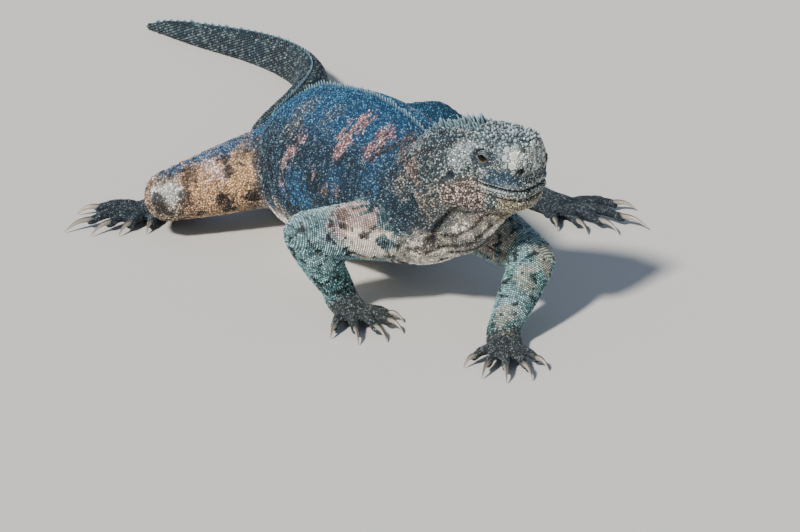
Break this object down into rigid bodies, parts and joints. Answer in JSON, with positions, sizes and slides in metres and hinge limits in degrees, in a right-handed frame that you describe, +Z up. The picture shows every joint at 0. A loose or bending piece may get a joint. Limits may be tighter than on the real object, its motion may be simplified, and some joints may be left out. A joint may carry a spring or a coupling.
{
  "type": "marine iguana model",
  "caption": "Life-size marine iguana propped on its arms with its head turned aside, spiny crest, long flattened tail and hooked claws.",
  "frame": {"origin": "middle of the footprint at floor level", "axes": "+X the way the body faces, +Y to the animal's left, +Z up"},
  "size_m": [0.7156, 0.359, 0.1489],
  "materials": {
    "skin_body": "matt, granular",
    "skin_head": "matt, granular",
    "skin_tail": "matt, granular",
    "skin_arm": "matt, in fine rows",
    "skin_thigh": "matt, granular",
    "skin_foot": "satin",
    "claw": "satin horn",
    "eye": "gloss"
  },
  "bodies": {
    "root": {"chest": "skin_body", "rump": "skin_body", "neck": "skin_body", "head": "skin_head", "lower_jaw": "skin_head", "eye_left": "eye", "eye_right": "eye", "tail_base": "skin_tail", "tail_middle": "skin_tail", "tail_rear": "skin_tail", "tail_tip": "skin_tail", "upper_arm_right": "skin_arm", "forearm_right": "skin_arm", "upper_arm_left": "skin_arm", "forearm_left": "skin_arm", "hand_right": "skin_foot", "hand_left": "skin_foot", "thigh_right": "skin_thigh", "thigh_left": "skin_thigh", "shank_right": "skin_tail", "shank_left": "skin_tail", "foot_right": "skin_foot", "foot_left": "skin_foot", "claw_hand_right_1": "claw", "claw_hand_right_2": "claw", "claw_hand_right_3": "claw", "claw_hand_right_4": "claw", "claw_hand_right_5": "claw", "claw_hand_left_1": "claw", "claw_hand_left_2": "claw", "claw_hand_left_3": "claw", "claw_hand_left_4": "claw", "claw_hand_left_5": "claw", "claw_foot_right_1": "claw", "claw_foot_right_2": "claw", "claw_foot_right_3": "claw", "claw_foot_right_4": "claw", "claw_foot_right_5": "claw", "claw_foot_left_1": "claw", "claw_foot_left_2": "claw", "claw_foot_left_3": "claw", "claw_foot_left_4": "claw", "claw_foot_left_5": "claw"}
  },
  "joints": []
}
